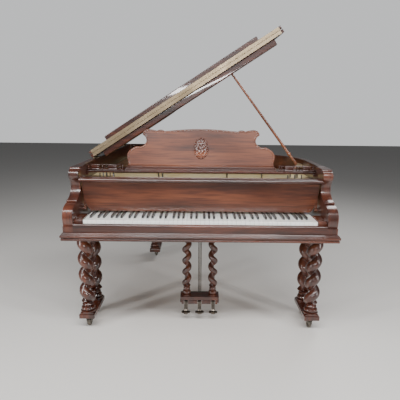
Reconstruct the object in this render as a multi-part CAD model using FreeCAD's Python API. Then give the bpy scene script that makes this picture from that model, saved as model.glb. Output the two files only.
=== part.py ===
"""Art-case grand piano on barley-twist legs, open lid resting on its prop.

Millimetres. X runs to the player's right, Y from the keyboard to the tail, Z up from the floor.
The case is drawn with Y = 0 at the front of the white keys; save() moves it to the middle of its length.
"""
import FreeCAD
import Part
import math
import os

V = FreeCAD.Vector
os.makedirs("parts", exist_ok=True)

# ---- Driving dimensions -------------------------------------------------------------------
case_length = 1880.0        # moulding front to moulding tail
bed_underside = 638.0       # floor to the underside of the case
moulding_height = 42.0
case_height = 316.0         # side wall above the base moulding
rim_thickness = 38.0
inner_rim_thickness = 42.0
arm_thickness = 52.0
arm_depth = 260.0
moulding_out = 14.0         # how far the base moulding stands out
moulding_width = 40.0       # how far it reaches in under the case
case_front = -36.0          # case line at the front, ahead of the keys
tail_width = 560.0
side_bend_y = 860.0         # where the straight side would turn towards the tail
tail_bend_y = 1330.0
side_bend_radius = 500.0
tail_bend_radius = 550.0
tail_corner_radius = 150.0
spine_corner_radius = 60.0
bass_bridge_y = 1560.0

white_pitch = 23.56
white_count = 52
key_gap = 0.9
key_block_width = 45.0
key_surface_rise = 58.0     # white key tops above the case base
white_head = 50.0
key_visible = 150.0
key_length = 400.0
key_thickness = 22.0
sharp_width = 10.5
sharp_height = 12.0
key_pivot_y = 240.0

lid_thickness = 20.0
lid_gap = 4.0
lid_overhang = 8.0
lid_angle = 32.8
fold_y = 540.0
pin_block_rear = 500.0
belly_y = 556.0             # front of the belly rail, which carries the soundboard
flap_front_y = 112.0
flap_knuckle_radius = 2.0
leaf_thickness = 1.5
lid_axis_inset = 9.56       # hinge pin in from the spine face
knuckle_radius = 4.5
hinge_pin_radius = 1.5
running_gap = 0.05
hinge_length = 84.0

prop_y = 639.0
prop_from_side = 70.0
prop_below_top = 41.0
prop_lean = 5.0
prop_radius = 9.0
prop_pin_radius = 4.0
cup_plate = 8.0
strut_length = 70.0

desk_lean = 15.0
desk_thickness = 16.0
desk_y = 306.0
shelf_drop = 46.0           # underside of the desk shelf below the case top
shelf_thickness = 10.0
ledge_share = 0.715         # desk ledge as a share of the keyboard
rosette_height = 128.0
rosette_width = 89.0
rosette_centre = 109.0

fall_height = 149.0
fall_front_y = 151.0
fall_thickness = 18.0
fall_pivot_y = 158.0
fall_pivot_rise = 26.0      # above the white keys
fall_pin_radius = 4.0

leg_radius = 47.0
strand_radius = 30.0
twist_pitch = 100.0
leg_front_y = 230.0
leg_rear_y = 405.0
tail_leg_inset = 309.5      # tail leg in from the spine side
tail_leg_y = 1480.0
tail_column_spread = 66.0
caster_height = 75.0
plinth_height = 33.0
plinth_margin = 48.0
turned_foot = 64.0
wheel_radius = 27.0
wheel_width = 20.0
wheel_bore = 4.0
caster_trail = 17.0
stem_radius = 6.0

lyre_column_x = 82.0
lyre_radius = 30.0
lyre_strand = 17.0
lyre_pitch = 74.0
lyre_foot = 62.0
lyre_y = 372.0
pedal_box_half = 122.0
pedal_box_depth = 84.0
pedal_box_base = 100.0
pedal_box_height = 52.0
pedal_spacing = 86.0
pedal_width = 22.0
pedal_slot = 28.0
pedal_toe = 52.0
pedal_reach = 20.0          # toe centre ahead of the pedal box
rod_radius = 2.5
rod_spacing = 8.0

# ---- Sizes that follow ------------------------------------------------------------------------
key_half = white_pitch * white_count / 2
arm_inside = key_half + key_block_width
half_width = arm_inside + arm_thickness
case_base = bed_underside + moulding_height
case_top = case_base + case_height
key_top = case_base + key_surface_rise
tail_y = case_length + case_front - 2 * moulding_out
middle_y = case_front - moulding_out + case_length / 2
board_top = case_top - 136.0
board_thickness = 8.0
plate_top = case_top - 91.0
plate_thickness = 16.0
string_z = plate_top + 7.0
strut_top = plate_top + 20.0
rim_inside = half_width - rim_thickness
plate_bars = [rim_inside * share for share in (-0.405, 0.2427, 0.5703)]
plate_lip_gaps = [rim_inside * share for share in (-0.369, -0.335, 0.229, 0.538)]
plate_lip_half = rim_inside * 0.756
plain_start = -rim_inside + 321.5
shelf_base = case_top - shelf_drop
shelf_top = shelf_base + shelf_thickness
ledge_top = shelf_base + 32.0
ledge_half = key_half * ledge_share
lid_under = case_top + lid_gap
stretcher_top = case_top - 56.0
lid_top = lid_under + lid_thickness
lid_axis_z = lid_under + 1.0
lid_axis_x = -half_width + lid_axis_inset
lid_left = lid_axis_x + knuckle_radius + 1.5
lid_right = half_width + lid_overhang
prop_x = half_width - prop_from_side
prop_z = case_top - prop_below_top
fall_pivot_z = key_top + fall_pivot_rise
leg_x = half_width + moulding_out - leg_radius - 0.5
plinth_top = caster_height + plinth_height
tail_leg_x = -half_width + tail_leg_inset


# ---- Drawing helpers -----------------------------------------------------------------------
def box(x0, x1, y0, y1, z0, z1):
    return Part.makeBox(x1 - x0, y1 - y0, z1 - z0, V(x0, y0, z0))


def rod(start, end, radius):
    path = end - start
    return Part.makeCylinder(radius, path.Length, start, path)


def fuse(shapes):
    if len(shapes) == 1:
        return shapes[0]
    return shapes[0].multiFuse(shapes[1:]).removeSplitter()


def save(shape, name):
    """Move a finished node to the middle of the case and write it."""
    moved = shape.copy()
    moved.translate(V(0, -middle_y, 0))
    moved.exportStep("parts/" + name + ".step")
    print(name, "solids", len(moved.Solids), "valid", moved.isValid())


def group(shapes, name):
    """Write separate solids as one node."""
    save(Part.makeCompound(shapes), name)


def spline(points):
    curve = Part.BSplineCurve()
    curve.interpolate(points)
    return curve.toShape()


def line(a, b):
    return Part.LineSegment(a, b).toShape()


def arc(a, b, c):
    return Part.Arc(a, b, c).toShape()


def side_solid(edges, x0, x1):
    """Push a closed outline in the YZ plane from x0 to x1."""
    face = Part.Face(Part.Wire(edges))
    return face.extrude(V(x1 - x0, 0, 0))


def loop_edges(points):
    return [line(points[i], points[(i + 1) % len(points)]) for i in range(len(points))]


def yz(x, pairs):
    return [V(x, y, z) for y, z in pairs]


def side_prism(pairs, x0, x1):
    return side_solid(loop_edges(yz(x0, pairs)), x0, x1)


def turned(profile, x, y):
    """Turn a list of (radius, height) about the vertical axis at x, y."""
    points = [V(0, 0, profile[0][1])] + [V(r, 0, z) for r, z in profile] + [V(0, 0, profile[-1][1])]
    face = Part.Face(Part.makePolygon(points + [points[0]]))
    solid = face.revolve(V(0, 0, 0), V(0, 0, 1), 360)
    solid.translate(V(x, y, 0))
    return solid


# ---- Case outline ------------------------------------------------------------------------------
def outline_corners(front):
    tail_x = -half_width + tail_width
    return [(-half_width, front, 0), (half_width, front, 0), (half_width, side_bend_y, side_bend_radius),
            (tail_x, tail_bend_y, -tail_bend_radius), (tail_x, tail_y, tail_corner_radius),
            (-half_width, tail_y, spine_corner_radius)]


def moved_line(a, b, out):
    """The line a-b pushed outwards, for corners listed anticlockwise."""
    along = (b - a).normalize()
    shift = V(along.y, -along.x, 0) * out
    return a + shift, along


def crossing(p, u, q, w):
    t = ((q.x - p.x) * w.y - (q.y - p.y) * w.x) / (u.x * w.y - u.y * w.x)
    return p + u * t


def rounded_outline(out, front):
    """The case line, moved outwards by out, its front edge staying at front."""
    corners = outline_corners(front + out)
    count = len(corners)
    points = [V(x, y, 0) for x, y, r in corners]
    lines = [moved_line(points[i], points[(i + 1) % count], out) for i in range(count)]
    pushed = [crossing(*lines[i - 1], *lines[i]) for i in range(count)]
    edges = []
    last = None
    first = None
    for i in range(count):
        radius = corners[i][2]
        here = pushed[i]
        if radius == 0:
            start = end = here
        else:
            before = (pushed[i - 1] - here).normalize()
            after = (pushed[(i + 1) % count] - here).normalize()
            size = abs(radius + out)
            half_turn = (math.pi - before.getAngle(after)) / 2
            reach = size * math.tan(half_turn)
            start = here + before * reach
            end = here + after * reach
            inward = (before + after).normalize()
            centre = here + inward * (size / math.cos(half_turn))
            middle = centre - inward * size
        if last is not None:
            edges.append(line(last, start))
        if radius != 0:
            edges.append(arc(start, middle, end))
        if first is None:
            first = start
        last = end
    edges.append(line(last, first))
    return Part.Face(Part.Wire(edges))


def slab(out, front, z0, z1):
    face = rounded_outline(out, front)
    face.translate(V(0, 0, z0))
    return face.extrude(V(0, 0, z1 - z0))


def back_limit(x, inset):
    """How far back the inside of the case reaches at x, along straight chords."""
    tail_x = -half_width + tail_width
    slope = (tail_bend_y - side_bend_y) / (half_width - tail_x)
    if x < tail_x - inset:
        return tail_y - inset
    return side_bend_y + (half_width - x) * slope - inset * 1.3


def hollow_slab(out_outer, out_inner, front, z0, z1):
    """A wall that follows the case line, open at the front."""
    return slab(out_outer, front, z0, z1).cut(slab(out_inner, front - 200, z0 - 1, z1 + 1))


def in_lid(shape):
    """Swing a piece drawn on the shut lid up to the open lid."""
    shape.rotate(V(lid_axis_x, 0, lid_axis_z), V(0, 1, 0), -lid_angle)
    return shape


# ---- Case ---------------------------------------------------------------------------------------
def arm(side):
    """Scrolled arm: block, swelling, bead, hollow and roll, then the plain side wall."""
    x0 = arm_inside if side > 0 else -half_width
    base = case_base
    top = case_top
    swell = [(-19, base + 31), (-27, base + 70), (-18, base + 108), (18, base + 132), (58, base + 140)]
    hollow = [(70, base + 152), (112, base + 170), (136, base + 198), (136, base + 232), (120, top - 62)]
    edges = loop_edges(yz(x0, [(case_front + 6, base), (case_front + 6, base + 31), (-19, base + 31)]))[:2]
    edges.append(spline(yz(x0, swell)))
    edges.append(arc(*yz(x0, [(58, base + 140), (55, base + 147), (60, base + 152)])))
    edges.append(line(*yz(x0, [(60, base + 152), (70, base + 152)])))
    edges.append(spline(yz(x0, hollow)))
    edges.append(arc(*yz(x0, [(120, top - 62), (107, top - 38), (122, top - 14)])))
    edges.append(arc(*yz(x0, [(122, top - 14), (134, top - 10), (140, top)])))
    back = yz(x0, [(140, top), (arm_depth, top), (arm_depth, base), (case_front + 6, base)])
    edges += [line(back[i], back[i + 1]) for i in range(3)]
    solid = side_solid(edges, x0, x0 + arm_thickness)
    pin_end = side * (arm_inside + 11)
    hole = rod(V(side * (arm_inside - 5), fall_pivot_y, fall_pivot_z), V(pin_end, fall_pivot_y, fall_pivot_z),
               fall_pin_radius + running_gap)
    return solid.cut(hole)


def base_moulding():
    """Stepped moulding round the foot of the case."""
    steps = [(10, 0, 12), (6, 12, 17), (moulding_out, 17, 29), (9, 29, 36), (4, 36, moulding_height)]
    rings = [slab(out, case_front - out, bed_underside + z0, bed_underside + z1) for out, z0, z1 in steps]
    hollow = slab(-moulding_width, case_front + moulding_width, bed_underside - 1, case_base + 1)
    return fuse(rings).cut(hollow)


def keybed():
    inside = half_width - moulding_width
    bed = box(-inside, inside, case_front + moulding_width, 330, bed_underside + 2, case_base)
    holes = [rod(V(x, rod_y(), bed_underside), V(x, rod_y(), case_base + 1), rod_radius + 4)
             for x in rod_places()]
    return bed.cut(fuse(holes))


def key_slip():
    """Front rail with a rounded top edge, between the arms."""
    front = case_front + 6
    top = case_base + 45
    edges = [line(*yz(-arm_inside, [(front, case_base), (front, top - 11)]))]
    edges.append(arc(*yz(-arm_inside, [(front, top - 11), (front + 11, top), (front + 22, top - 11)])))
    rest = yz(-arm_inside, [(front + 22, top - 11), (front + 22, case_base), (front, case_base)])
    edges += [line(rest[0], rest[1]), line(rest[1], rest[2])]
    return side_solid(edges, -arm_inside, arm_inside)


def key_blocks():
    blocks = []
    for side in (-1, 1):
        inner = key_half + 1.5
        x0, x1 = sorted((side * inner, side * arm_inside))
        top = key_top + 6
        shape = [(-6, case_base), (-6, top - 8), (2, top), (120, top), (138, case_base)]
        blocks.append(side_prism(shape, x0, x1))
    return blocks


def stretcher():
    """Rail across the case above the fallboard, with a half-round front."""
    z0 = fall_pivot_z + fall_height + 5
    z1 = stretcher_top
    mid = (z0 + z1) / 2
    edges = [arc(*yz(-arm_inside, [(122, z0), (112, mid), (122, z1)]))]
    rest = yz(-arm_inside, [(122, z1), (176, z1), (176, z0), (122, z0)])
    edges += [line(rest[i], rest[i + 1]) for i in range(3)]
    return side_solid(edges, -arm_inside, arm_inside)


def case_braces():
    """Heavy beams under the soundboard, from the belly rail to the inner rim."""
    inside = half_width - rim_thickness - inner_rim_thickness
    z0 = case_base + 4
    z1 = case_base + 70
    belly = box(-inside, inside, belly_y, belly_y + 40, z0, board_top - board_thickness)
    beams = [belly]
    for x, lean in ((-420, 60), (-150, 0), (160, -160)):
        far = back_limit(x + lean, rim_thickness + inner_rim_thickness) + 60
        foot = [V(x - 28, belly_y + 40, z0), V(x + 28, belly_y + 40, z0), V(x + lean + 28, far, z0), V(x + lean - 28, far, z0)]
        face = Part.Face(Part.makePolygon(foot + [foot[0]]))
        beams.append(face.extrude(V(0, 0, z1 - z0)))
    room = slab(-rim_thickness - inner_rim_thickness, 300, z0 - 1, case_top)
    return fuse(beams).common(room)


def desk_supports():
    """Cleats on the inside of the case that carry the desk shelf."""
    cleats = []
    for side in (-1, 1):
        x0, x1 = sorted((side * rim_inside, side * (rim_inside - 26)))
        cleats.append(box(x0, x1, arm_depth + 6, 400, shelf_base - 14, shelf_base))
    return cleats


# ---- Sounding parts -----------------------------------------------------------------------------
def soundboard():
    room = box(-half_width, half_width, belly_y, tail_y, 0, case_top)
    return slab(-rim_thickness, 300, board_top - board_thickness, board_top).common(room)


def soundboard_ribs():
    """Spruce bars glued across the underside of the soundboard."""
    room = slab(-rim_thickness - inner_rim_thickness, 300, 0, case_top)
    bars = [box(-half_width, half_width, y, y + 22, board_top - board_thickness - 20,
                board_top - board_thickness) for y in range(620, int(tail_y) - 160, 130)]
    return [bar.common(room) for bar in bars]


def bridges():
    """The bass bridge and the long bridge, both glued to the soundboard."""
    z0 = board_top
    bass = box(-rim_inside + 71.5, plain_start - 8, bass_bridge_y, bass_bridge_y + 30, z0, string_z + 8)
    x_end = half_width - 110
    near = V(-300, back_limit(-300, 150) - 20, z0)
    far = V(x_end, back_limit(x_end, 150) - 20, z0)
    points = [near, far, far + V(0, 26, 0), near + V(0, 26, 0)]
    long_bridge = Part.Face(Part.makePolygon(points + [near])).extrude(V(0, 0, string_z - 2 - z0))
    room = slab(-rim_thickness - 62, 300, z0 - 1, case_top)
    for bar_x in plate_bars:
        room = room.cut(box(bar_x - 12, bar_x + 12, 0, tail_y, plate_top - 4, case_top))
    return [bass, long_bridge.common(room)]


def iron_plate():
    """Cast frame: rim flange, pin web, raised front lip and long struts."""
    flange = slab(-rim_thickness - 1, 300, board_top, board_top + 20)
    flange = flange.cut(slab(-rim_thickness - 58, 200, 0, case_top))
    flange = flange.common(box(-half_width, half_width, belly_y + 15, tail_y, 0, case_top))
    x = rim_inside - 1
    web = box(-x, x, 332, belly_y + 15, plate_top - plate_thickness, plate_top)
    skirt = box(-x, x, belly_y, belly_y + 15, board_top, plate_top)
    lip = box(-plate_lip_half, plate_lip_half, 332, 346, plate_top, shelf_base - 7)
    for gap in plate_lip_gaps:
        lip = lip.cut(box(gap - 6, gap + 6, 330, 348, plate_top, shelf_base))
    parts = [flange, web, skirt, lip]
    for bar_x in plate_bars:
        far = back_limit(bar_x, rim_thickness) - 20
        parts.append(box(bar_x - 9, bar_x + 9, 480, far, plate_top - 2, strut_top))
        parts.append(box(bar_x - 9, bar_x + 9, far - 50, far, board_top, strut_top))
    return fuse(parts)


def pin_block():
    x = rim_inside - 1
    return box(-x, x, 332, pin_block_rear, plate_top - plate_thickness - 38, plate_top - plate_thickness)


def steel_note_x():
    """Positions of the plain steel notes, kept off the plate struts."""
    places = [plain_start + i * 14.2 for i in range(int((rim_inside - 84 - plain_start) / 14.2) + 1)]
    return [x for x in places if min(abs(x - bar) for bar in plate_bars) > 13]


def steel_strings():
    strings = []
    for x in steel_note_x():
        far = back_limit(x, 150) + 40
        strings.append(rod(V(x, 492, string_z), V(x, far, string_z), 0.9))
    return strings


def copper_strings():
    """Wound bass strings, fanned over the plain ones."""
    z = string_z + 10
    left = -rim_inside
    return [rod(V(left + 43.5 + i * 12, 492, z), V(left + 99.5 + i * 10.5, bass_bridge_y + 60, z), 2.0)
            for i in range(22)]


def tuning_pins():
    pins = []
    for i in range(88):
        x = (i - 43.5) * (rim_inside - 62.5) / 43.5
        pins.append(rod(V(x, 385 + 24 * (i % 3), plate_top), V(x, 385 + 24 * (i % 3), plate_top + 24), 3.2))
    return pins


def dampers():
    """Felt damper heads lying on the strings."""
    heads = []
    for i in range(62):
        x = -rim_inside + 49.5 + i * 14.2
        if min(abs(x - bar) for bar in plate_bars) > 16:
            z = string_z + (12.2 if x < plain_start - 22 else 1.1)
            heads.append(box(x - 4.5, x + 4.5, 575, 605, z, z + 14))
    return heads


def action():
    """Key frame rails and the row of hammers below the pin block."""
    rest = key_top - key_thickness - 0.7
    rails = [box(-key_half, key_half, key_pivot_y - 12, key_pivot_y + 12, case_base, rest),
             box(-key_half, key_half, 418, 440, case_base, case_base + 110)]
    for i in range(88):
        x = (i + 0.5) * 2 * key_half / 88 - key_half
        rails.append(box(x - 2, x + 2, 440, 530, case_base + 98, case_base + 104))
        rails.append(box(x - 4.5, x + 4.5, 530, 552, case_base + 98, case_base + 128))
    return rails


# ---- Keyboard -----------------------------------------------------------------------------------
SHARP_AFTER = {0: "A", 2: "C", 3: "D", 5: "F", 6: "G"}


def has_sharp_right(i):
    return i % 7 in SHARP_AFTER and i < white_count - 1


def sharp_centre(i):
    """Sharps sit a little off the gap, as the notes C to E and F to B share theirs out."""
    shift = {0: 2.6, 2: -2.6, 3: 2.6, 5: -2.8, 6: 0.0}[i % 7]
    return -key_half + (i + 1) * white_pitch + shift


def white_key(i):
    x0 = -key_half + i * white_pitch + key_gap / 2
    x1 = x0 + white_pitch - key_gap
    side = sharp_width / 2 + key_gap
    left = max(x0, sharp_centre(i - 1) + side) if i and has_sharp_right(i - 1) else x0
    right = min(x1, sharp_centre(i) - side) if has_sharp_right(i) else x1
    z0 = key_top - key_thickness
    head = box(x0, x1, 0, white_head, z0, key_top)
    tail = box(left, right, white_head, key_length, z0, key_top)
    return head.fuse(tail).removeSplitter()


def black_key(i):
    """Sharp with a sloped front, standing on its own key stick."""
    x = sharp_centre(i)
    half = sharp_width / 2
    z0 = key_top - key_thickness
    y0 = white_head + key_gap
    top = key_top + sharp_height
    shape = [(y0, z0), (y0, key_top + 2), (y0 + 9, top), (key_visible - 4, top), (key_visible - 4, key_top),
             (key_length, key_top), (key_length, z0)]
    return side_prism(shape, x - half, x + half)


LOOSE_WHITE = {23: "key_c", 24: "key_d"}
LOOSE_BLACK = {23: "key_c_sharp"}


def build_keys():
    whites = [white_key(i) for i in range(white_count) if i not in LOOSE_WHITE]
    blacks = [black_key(i) for i in range(white_count) if has_sharp_right(i) and i not in LOOSE_BLACK]
    group(whites, "white_keys")
    group(blacks, "black_keys")
    for i, name in LOOSE_WHITE.items():
        save(white_key(i), name)
    for i, name in LOOSE_BLACK.items():
        save(black_key(i), name)


def fallboard():
    """Tall board with its lower corners cut in by a curve, on an arm and pin at each end."""
    x = arm_inside - 6
    top = fall_pivot_z + fall_height
    foot = fall_pivot_z - 11
    side = [(x, top - 28), (x - 3, top - 58), (x - 13, top - 92), (x - 28, top - 142), (x - 46, foot)]
    right = [V(px, fall_front_y, pz) for px, pz in side]
    left = [V(-px, fall_front_y, pz) for px, pz in side]
    corner = V(x, fall_front_y, top)
    other = V(-x, fall_front_y, top)
    edges = [line(other, corner), line(corner, right[0]), spline(right), line(right[-1], left[-1]),
             spline(left), line(left[0], other)]
    parts = [Part.Face(Part.Wire(Part.__sortEdges__(edges))).extrude(V(0, fall_thickness, 0))]
    for hand in (-1, 1):
        x0, x1 = sorted((hand * (x - 16), hand * (x - 2)))
        parts.append(box(x0, x1, fall_pivot_y + 1, fall_front_y + fall_thickness + 3, fall_pivot_z - 6, top - 40))
        parts.append(rod(V(x0, fall_pivot_y, fall_pivot_z), V(x1, fall_pivot_y, fall_pivot_z), 6.0))
        parts.append(rod(V(hand * (x - 9), fall_pivot_y, fall_pivot_z),
                         V(hand * (arm_inside + 9), fall_pivot_y, fall_pivot_z), fall_pin_radius))
    return fuse(parts)


# ---- Music desk ------------------------------------------------------------------------------------
def desk_shelf():
    """Shelf across the case with a stepped ledge in the middle for the desk."""
    room = rim_inside - 3
    board = box(-room, room, 275, 400, shelf_base, shelf_top)
    lower = box(-ledge_half, ledge_half, 279, 352, shelf_top, shelf_top + 9)
    upper = box(-ledge_half + 6, ledge_half - 6, 287, 346, shelf_top + 9, ledge_top)
    groove = box(-ledge_half - 1, ledge_half + 1, 300, 360, ledge_top - 6, ledge_top + 1)
    return fuse([board, lower, upper]).cut(groove)


def desk_outline(half_span, y):
    """Right half of the desk outline and its mirror image, drawn upright at y."""
    runs = [[(428, 0), (424, 24), (432, 58), (423, 88), (400, 107), (377, 119)],
            [(377, 119), (358, 116), (335, 126), (321, 150), (329, 176), (343, 188)],
            [(343, 188), (339, 205), (323, 217), (298, 219), (259, 211)],
            [(259, 211), (236, 217), (215, 209)],
            [(215, 209), (171, 213), (100, 219), (0, 222)]]
    edges = []
    for side in (1, -1):
        for run in runs:
            edges.append(spline([V(side * x * half_span / 428, y, z) for x, z in run]))
    edges.append(line(V(-half_span, y, 0), V(half_span, y, 0)))
    return Part.Face(Part.Wire(Part.__sortEdges__(edges)))


def lean_back(shape):
    """Put a piece drawn upright at z = 0 on the ledge, leaning back about its rear lower edge."""
    shape.translate(V(0, 0, ledge_top - 4))
    shape.rotate(V(0, desk_y + desk_thickness, ledge_top - 4), V(1, 0, 0), -desk_lean)
    return shape


def desk_panel():
    panel = desk_outline(ledge_half - 12, desk_y).extrude(V(0, desk_thickness, 0))
    return lean_back(panel)


def desk_rosette():
    """Oval carved boss planted on the face of the desk."""
    oval = Part.Ellipse(V(0, 0, 0), rosette_height / 2, rosette_width / 2).toShape()
    disc = Part.Face(Part.Wire([oval])).extrude(V(0, 0, 14))
    disc.rotate(V(0, 0, 0), V(0, 0, 1), 90)
    disc.rotate(V(0, 0, 0), V(1, 0, 0), 90)
    disc.translate(V(0, desk_y, rosette_centre))
    return lean_back(disc)


def side_gallery(side):
    """Little fence beside the desk: rails with blocks and bars between them."""
    x0 = ledge_half + 9
    x1 = rim_inside - 12
    y0 = 287
    z0 = shelf_top
    z1 = case_top - 1
    parts = [box(x0, x1, y0, y0 + 14, z0, z0 + 6), box(x0, x1, y0, y0 + 14, z1 - 5, z1)]
    spread = (x1 - x0) / 214
    for start, width in ((3, 8), (17, 8), (38, 54), (106, 8), (120, 8), (142, 46), (200, 10)):
        left = x0 + start * spread
        parts.append(box(left, left + width * spread, y0 + 2, y0 + 12, z0, z1))
    fence = fuse(parts)
    return fence if side > 0 else fence.mirror(V(0, 0, 0), V(1, 0, 0))


# ---- Lid ---------------------------------------------------------------------------------------------
def lid_main():
    board = slab(lid_overhang, fold_y + leaf_thickness, lid_under, lid_top)
    trim = box(-half_width - 50, lid_left, 0, tail_y + 50, lid_under - 1, lid_top + 1)
    return in_lid(board.cut(trim))


def lid_batten():
    y0 = fold_y + 20
    y1 = fold_y + 54
    low = lid_under - 40
    bar = [(y0, lid_under), (y0, low + 4), (y0 + 6, low), (y1 - 6, low), (y1, low + 4), (y1, lid_under)]
    return in_lid(side_prism(bar, lid_left + 74, lid_right - 66))


def flap_axis_z():
    return lid_top + flap_knuckle_radius


def in_flap(shape):
    """Fold a piece drawn on the shut flap back over the lid, then open the lid."""
    shape.rotate(V(0, fold_y, flap_axis_z()), V(1, 0, 0), 180)
    return in_lid(shape)


def lid_flap():
    """Front flap with a drop lip between the arms."""
    board = box(lid_left, lid_right, flap_front_y, fold_y - leaf_thickness, lid_under, lid_top)
    lip = box(-arm_inside + 10, arm_inside - 10, flap_front_y, flap_front_y + 18, stretcher_top + 3, lid_under)
    return in_flap(fuse([board, lip]))


def flap_leaf(on_flap):
    """Long brass strip on a meeting edge; the main lid's strip carries the knuckle."""
    x0 = lid_left + 17
    x1 = lid_right - 17
    y0 = fold_y - leaf_thickness if on_flap else fold_y
    strip = box(x0, x1, y0, y0 + leaf_thickness, lid_under + 1, lid_top)
    if on_flap:
        return in_flap(strip)
    knuckle = rod(V(x0, fold_y, flap_axis_z()), V(x1, fold_y, flap_axis_z()), flap_knuckle_radius - 0.2)
    foot = box(x0, x1, fold_y, fold_y + leaf_thickness, lid_top - 1, flap_axis_z())
    return in_lid(fuse([strip, knuckle, foot]))


def hinge_places():
    return [fold_y + 60, (fold_y + tail_y) / 2, tail_y - 190]


def case_hinge(y):
    """Leaf on the rim with an outer knuckle at each end and the pin through both."""
    third = hinge_length / 3
    leaf = box(lid_left + 2, lid_left + 26, y, y + hinge_length, case_top, case_top + 2)
    parts = [leaf]
    centre = V(lid_axis_x, y, lid_axis_z)
    for start in (0, 2 * third + 0.3):
        parts.append(rod(centre + V(0, start, 0), centre + V(0, start + third - 0.3, 0), knuckle_radius))
        parts.append(box(lid_axis_x, lid_left + 3, y + start, y + start + third - 0.3, case_top, case_top + 2))
    parts.append(rod(centre, centre + V(0, hinge_length, 0), hinge_pin_radius))
    return fuse(parts)


def lid_hinge(y):
    """Leaf under the lid with the middle knuckle."""
    third = hinge_length / 3
    leaf = box(lid_left + 2, lid_left + 26, y, y + hinge_length, lid_under - 2, lid_under)
    start = V(lid_axis_x, y + third + 0.3, lid_axis_z)
    end = start + V(0, third - 0.6, 0)
    tab = box(lid_axis_x, lid_left + 3, start.y, end.y, lid_under - 2, lid_under)
    bore = rod(start - V(0, 1, 0), end + V(0, 1, 0), hinge_pin_radius + running_gap)
    return in_lid(fuse([leaf, tab, rod(start, end, knuckle_radius)]).cut(bore))


# ---- Prop ------------------------------------------------------------------------------------------------
def prop_geometry():
    """Length of the prop, its direction, and where its cup sits along the shut lid."""
    a = math.radians(lid_angle)
    lean = math.radians(prop_lean)
    away = (prop_x - lid_axis_x, prop_z - lid_axis_z)
    clear = away[0] * math.sin(a) - away[1] * math.cos(a) - (lid_axis_z - lid_under)
    length = (clear - cup_plate) / math.cos(lean) - 1.5
    along = away[0] * math.cos(a) + away[1] * math.sin(a) - clear * math.tan(lean)
    direction = V(-math.sin(a + lean), 0, math.cos(a + lean))
    return length, direction, lid_axis_x + along


def prop_long():
    """Tapered stick with an eye at its foot and a turned collar."""
    length, along, cup = prop_geometry()
    foot = V(prop_x, prop_y, prop_z)
    eye = rod(foot - V(0, 7, 0), foot + V(0, 7, 0), 12)
    stick = Part.makeCone(prop_radius, prop_radius - 2, length - 7, foot, along)
    tip = Part.makeSphere(prop_radius - 2, foot + along * (length - 7))
    collar = rod(foot + along * 88, foot + along * 100, prop_radius + 4)
    whole = fuse([eye, stick, tip, collar])
    slice_room = box(prop_x - 15, prop_x + 15, prop_y - 30, prop_y - 7, prop_z - 15, prop_z + 15)
    bore = rod(foot - V(0, 20, 0), foot + V(0, 20, 0), prop_pin_radius + running_gap)
    return whole.cut(slice_room).cut(bore)


def prop_short():
    """Short folding stay on the same pin."""
    foot = V(prop_x, prop_y - 17, prop_z)
    eye = rod(foot - V(0, 5, 0), foot + V(0, 5, 0), 11)
    along = V(-1, 0, -1).normalize()
    stick = rod(foot, foot + along * strut_length, 5)
    bore = rod(foot - V(0, 20, 0), foot + V(0, 20, 0), prop_pin_radius + running_gap)
    return fuse([eye, stick]).cut(bore)


def prop_bracket(rim):
    """Two ears and a pin on the inside of the case."""
    ears = []
    for y0 in (prop_y - 30, prop_y + 11):
        ears.append(box(prop_x - 10, half_width - 20, y0, y0 + 6, prop_z - 12, prop_z + 12))
    ears.append(box(prop_x + 16, half_width - 20, prop_y - 30, prop_y + 17, prop_z - 12, prop_z + 12))
    ears.append(rod(V(prop_x, prop_y - 30, prop_z), V(prop_x, prop_y + 17, prop_z), prop_pin_radius))
    return fuse(ears).cut(rim)


def prop_cup():
    """Horseshoe block under the lid, open towards the spine."""
    length, along, cup = prop_geometry()
    plate = box(cup - 26, cup + 22, prop_y - 20, prop_y + 20, lid_under - cup_plate, lid_under)
    walls = box(cup - 16, cup + 22, prop_y - 20, prop_y + 20, lid_under - cup_plate - 10, lid_under - cup_plate)
    seat = prop_radius + 1
    room = rod(V(cup, prop_y, lid_under - 40), V(cup, prop_y, lid_under - cup_plate), seat + 1)
    way = box(cup - 40, cup, prop_y - seat - 1, prop_y + seat + 1, lid_under - 40, lid_under - cup_plate)
    return in_lid(fuse([plate, walls.cut(room).cut(way)]))


# ---- Legs and lyre ---------------------------------------------------------------------------------------
def twist_section(offset, strand, pitch):
    """Level cut through a round strand that climbs a helix."""
    rise = pitch / (2 * math.pi)
    slant = math.hypot(offset, rise)
    points = []
    for i in range(20):
        angle = 2 * math.pi * i / 20
        turn = -strand * math.sin(angle) * offset / (rise * slant)
        reach = offset - strand * math.cos(angle)
        side = strand * math.sin(angle) * rise / slant
        points.append((reach * math.cos(turn) + side * math.sin(turn),
                       reach * math.sin(turn) - side * math.cos(turn)))
    return points


def twist(x, y, z0, z1, radius, strand, pitch, hand):
    """Barley twist: the same level section, turned a little more at each height."""
    section = twist_section(radius - strand, strand, pitch)
    steps = int((z1 - z0) / pitch * 10)
    rings = []
    for i in range(steps + 1):
        height = (z1 - z0) * i / steps
        c = math.cos(2 * math.pi * height / pitch)
        s = math.sin(2 * math.pi * height / pitch)
        points = [V(x - hand * (u * s + v * c), y + u * c - v * s, z0 + height) for u, v in section]
        rings.append(Part.Wire([spline(points + points[:1])]))
    return Part.makeLoft(rings, True)


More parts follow.
